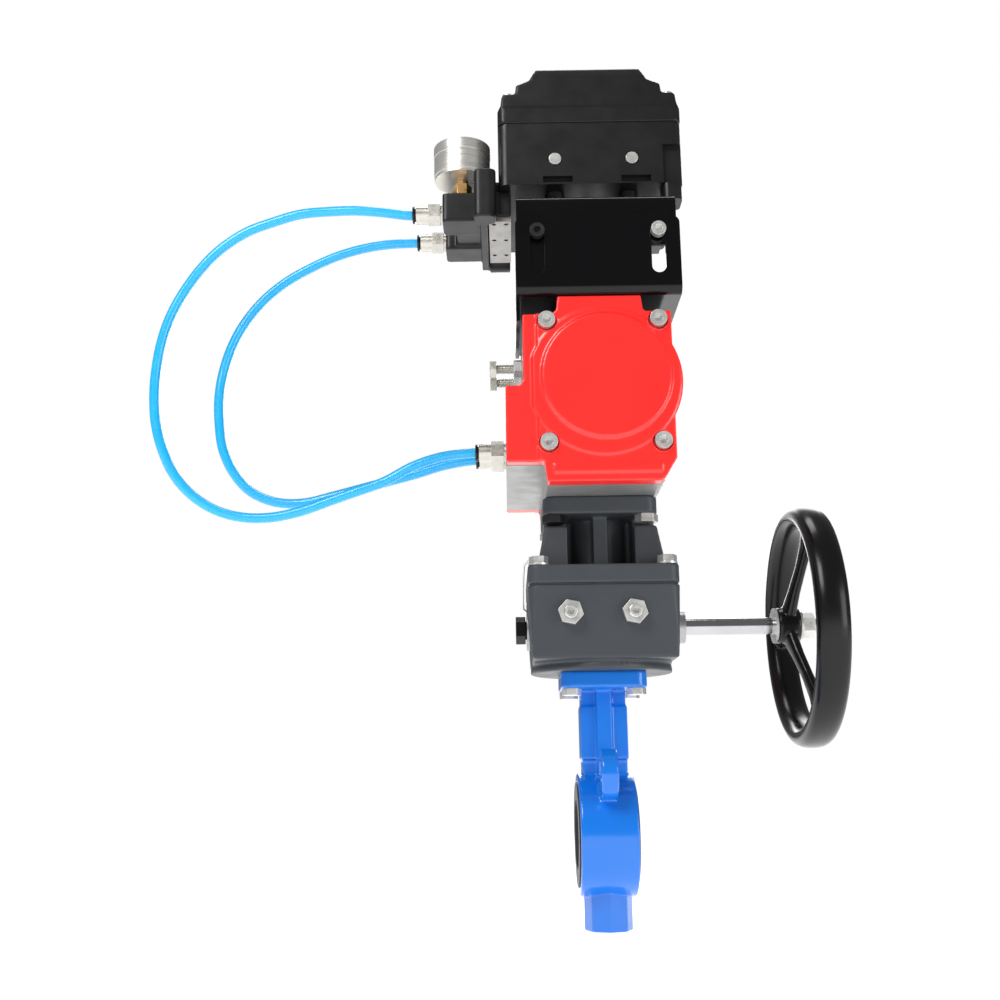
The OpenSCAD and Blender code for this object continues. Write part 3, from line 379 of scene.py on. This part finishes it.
def make_piece(name, bm, node, body, slot):
    """Piece from a bmesh, which it uses up."""
    bmesh.ops.recalc_face_normals(bm, faces=bm.faces)
    data = bpy.data.meshes.new(name)
    bm.to_mesh(data)
    bm.free()
    return add_piece(name, data, node, body, slot)


def melt(piece, voxel, passes):
    """Rebuilds a piece from voxels and smooths it, so that its edges and corners run round."""
    remesh = piece.modifiers.new("remesh", "REMESH")
    remesh.mode = "VOXEL"
    remesh.voxel_size = voxel * MM
    remesh.use_smooth_shade = True
    smooth = piece.modifiers.new("smooth", "SMOOTH")
    smooth.factor = 0.5
    smooth.iterations = passes


def bridge(bm, rings, closed=False):
    """Skin between rings of points. The ends are capped, or joined when it is closed."""
    rows = [[bm.verts.new(point) for point in ring] for ring in rings]
    count = len(rows[0])
    pairs = list(zip(rows, rows[1:]))
    if closed:
        pairs.append((rows[-1], rows[0]))
    for low, high in pairs:
        for i in range(count):
            j = (i + 1) % count
            bm.faces.new((low[i], low[j], high[j], high[i]))
    if not closed:
        bm.faces.new(rows[0][::-1])
        bm.faces.new(rows[-1])


def turned(place, axis, steps, outline):
    """Rings of a solid turned about an axis.

    The outline lists (radius, height), each a number or a function of the angle."""
    axis = Vector(axis)
    side = axis.orthogonal().normalized()
    other = axis.cross(side)
    rings = []
    for radius, height in outline:
        ring = []
        for i in range(steps):
            angle = 2 * math.pi * i / steps
            far = radius(angle) if callable(radius) else radius
            high = height(angle) if callable(height) else height
            outwards = math.cos(angle) * side + math.sin(angle) * other
            ring.append(Vector(place) + axis * high + far * outwards)
        rings.append(ring)
    return rings


def superellipse(turn, power):
    """Point at an angle on a circle of radius 1 that a power below 1 makes squarer."""
    return [math.copysign(abs(value) ** power, value) for value in (math.cos(turn), math.sin(turn))]


ROUND_STEPS = 48        # sides of a turned solid
THREAD_STEPS = 30       # sides of a thread, which needs many rows
THREAD_ROWS = 6         # rows of a thread in one pitch


def hexagon(flats):
    """Distance to a hexagon's outline at an angle."""
    third = math.pi / 3
    return lambda angle: flats / 2 / math.cos((angle + third / 2) % third - third / 2)


def add_hex(bm, place, axis, flats, height):
    """Hexagon with both ends chamfered, standing on its place."""
    inner = flats / 2
    face = inner * 0.95
    corner = hexagon(flats)

    def drop(angle):
        return (corner(angle) - inner) * math.tan(math.radians(30))

    outline = [(face, 0.0), (corner, drop), (corner, lambda angle: height - drop(angle)),
               (face, height)]
    bridge(bm, turned(place, axis, ROUND_STEPS, outline))


def add_thread(bm, place, axis, radius, pitch, length, key=0.0):
    """Rod with a helical thread, one end chamfered, with a hexagon socket when key is given."""
    rows = int(length / pitch * THREAD_ROWS)
    depth = 0.55 * pitch

    def helix(high):
        """Radius as a function of the angle, at one height."""
        def far(angle):
            phase = (high / pitch - angle / (2 * math.pi)) % 1
            groove = min(1, max(0, 1.6 * abs(2 * phase - 1) - 0.2))    # 0 on a crest, 1 at a root
            chamfer = max(0, 0.85 - (length - high) / pitch)
            return radius - depth * max(groove, chamfer)
        return far

    outline = [(helix(length * i / rows), length * i / rows) for i in range(rows + 1)]
    if key:
        outline += [(hexagon(key), length), (hexagon(key), length - key)]
    bridge(bm, turned(place, axis, THREAD_STEPS, outline))


def make_stop_screws():
    """The gearbox's two stop screws, with threads and sockets."""
    low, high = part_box("stop_screws")
    radius = (high[2] - low[2]) / 2
    height = (high[2] + low[2]) / 2
    bm = bmesh.new()
    for x in (low[0] + radius, high[0] - radius):
        add_thread(bm, (x, high[1], height), (0, -1, 0), radius, 1.5 * MM, high[1] - low[1],
                   key=5 * MM)
    make_piece("stop_screws_threaded", bm, "stop_screws", "frame", "zinc_steel")


def make_travel_bolts():
    """The actuator's two M8 travel stop bolts, with their heads on the left."""
    low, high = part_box("travel_stop_bolts")
    head = 5.5 * MM
    flats = 13 * MM
    radius = 3.95 * MM
    pitch = 1.25 * MM
    corner = flats / math.sqrt(3)
    height = (high[2] + low[2]) / 2
    bm = bmesh.new()
    for y in (low[1] + corner, high[1] - corner):
        place = (low[0] + head, y, height)
        add_hex(bm, place, (-1, 0, 0), flats, head)
        add_thread(bm, place, (1, 0, 0), radius, pitch, high[0] - low[0] - head)
    make_piece("travel_stop_bolts_threaded", bm, "travel_stop_bolts", "frame", "nickel")


# Sections of a spoke in millimetres: distance from the axis, middle along X, half width, half depth
SPOKE_SECTIONS = ((8, 10.5, 9.5, 5.5), (17, 11, 8.5, 5.3), (30, 13.5, 6.6, 4.6),
                  (50, 17.5, 6.2, 4.2), (68, 20.5, 7.4, 4.6), (86, 22.5, 10.5, 6.0))
SPOKE_STEPS = 20
SPOKES = 3
RIM_STEPS = 28          # points round the rim's section
WHEEL_STEPS = 144       # sections round the wheel


def add_spoke(bm, hub, angle, low_x):
    """Dished spoke whose section swells into the hub and the rim."""
    out = Vector((0, math.cos(angle), math.sin(angle)))
    side = Vector((0, -math.sin(angle), math.cos(angle)))
    along = Vector((1, 0, 0))
    rings = []
    for far, middle, half_wide, half_deep in SPOKE_SECTIONS:
        centre = hub + out * far * MM + along * (low_x + middle * MM)
        ring = []
        for i in range(SPOKE_STEPS):
            wide, deep = superellipse(2 * math.pi * i / SPOKE_STEPS, 0.75)
            ring.append(centre + side * wide * half_wide * MM + along * deep * half_deep * MM)
        rings.append(ring)
    bridge(bm, rings)


def make_handwheel():
    """Rim, hub and spokes, melted into one moulding."""
    low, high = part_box("handwheel")
    radius = (high[2] - low[2]) / 2
    hub = Vector((0, high[1] - radius, (high[2] + low[2]) / 2))
    rim_deep = 8.8 * MM
    rim_half = 13 * MM
    rim_radius = radius - 0.3 * MM - rim_deep
    rim_x = high[0] - rim_half
    bm = bmesh.new()
    rim = []
    for i in range(RIM_STEPS):
        deep, wide = superellipse(2 * math.pi * i / RIM_STEPS, 0.8)
        rim.append((rim_radius + deep * rim_deep, rim_x + wide * rim_half))
    bridge(bm, turned(hub, (1, 0, 0), WHEEL_STEPS, rim), closed=True)
    bore = 7.4 * MM
    side = 15 * MM
    face = side - MM
    tip = low[0] + 19 * MM
    hub_outline = [(bore, low[0]), (face, low[0]), (side, low[0] + 1.5 * MM),
                   (side, tip - MM), (face, tip), (bore, tip)]
    bridge(bm, turned(hub, (1, 0, 0), ROUND_STEPS, hub_outline), closed=True)
    for i in range(SPOKES):
        add_spoke(bm, hub, 2 * math.pi * i / SPOKES, low[0])
    wheel = make_piece("handwheel_moulded", bm, "handwheel", "hand_drive", "black_plastic")
    melt(wheel, 1.1, 7)


def make_castings():
    """A melted copy of each cast or moulded node."""
    for node, slot in SLOTS.items():
        if node in CAST_VOXEL:
            casting = add_piece(node + "_cast", NODES[node].data.copy(), node, "frame", slot)
            melt(casting, CAST_VOXEL[node], 5)


make_stop_screws()
make_travel_bolts()
make_handwheel()
make_castings()


# ---- studio ----

def make_floor():
    """Wide white floor just below the valve, too bright to take a shadow."""
    bpy.ops.mesh.primitive_plane_add(size=40, location=(0, 0, CAD_BOX[0][2] - MM))
    floor = bpy.context.object
    floor.name = "floor"
    material = (Material("floor", (0.6, 0.6, 0.6), 0.9).grain(30, 0.02)
                .set(Emission_Color=(1, 1, 1, 1), Emission_Strength=1.0).done())
    floor.data.materials.append(material)


def make_light(name, place, target, size, power):
    """Square area light that faces its target."""
    data = bpy.data.lights.new(name, "AREA")
    data.shape = "SQUARE"
    data.size = size
    data.energy = power
    light = bpy.data.objects.new(name, data)
    SCENE.collection.objects.link(light)
    light.location = place
    light.rotation_euler = (Vector(target) - Vector(place)).to_track_quat("-Z", "Y").to_euler()


WORLD_LIGHT = 0.20


def make_world():
    """White behind the object, and dimmer where it only lights and reflects."""
    world = bpy.data.worlds.new("world")
    SCENE.world = world
    world.use_nodes = True
    tree = world.node_tree
    background = tree.nodes["Background"]
    background.inputs["Color"].default_value = (1, 1, 1, 1)
    path = tree.nodes.new("ShaderNodeLightPath")
    spread = tree.nodes.new("ShaderNodeMapRange")
    spread.inputs["To Min"].default_value = WORLD_LIGHT
    spread.inputs["To Max"].default_value = 1.0
    tree.links.new(path.outputs["Is Camera Ray"], spread.inputs["Value"])
    tree.links.new(spread.outputs["Result"], background.inputs["Strength"])


def make_studio():
    """Floor, surroundings and four soft lights."""
    make_floor()
    make_world()
    middle = (0, 0, 0.3)
    make_light("key", (-0.9, -1.3, 1.5), middle, 0.9, 25)
    make_light("fill", (1.3, -1.1, 0.4), middle, 0.8, 8)
    make_light("top", (0, 0.3, 1.8), middle, 0.6, 6)
    make_light("back", (0.3, 1.4, 0.9), middle, 1.0, 14)


make_studio()
SCENE.view_settings.view_transform = "Standard"
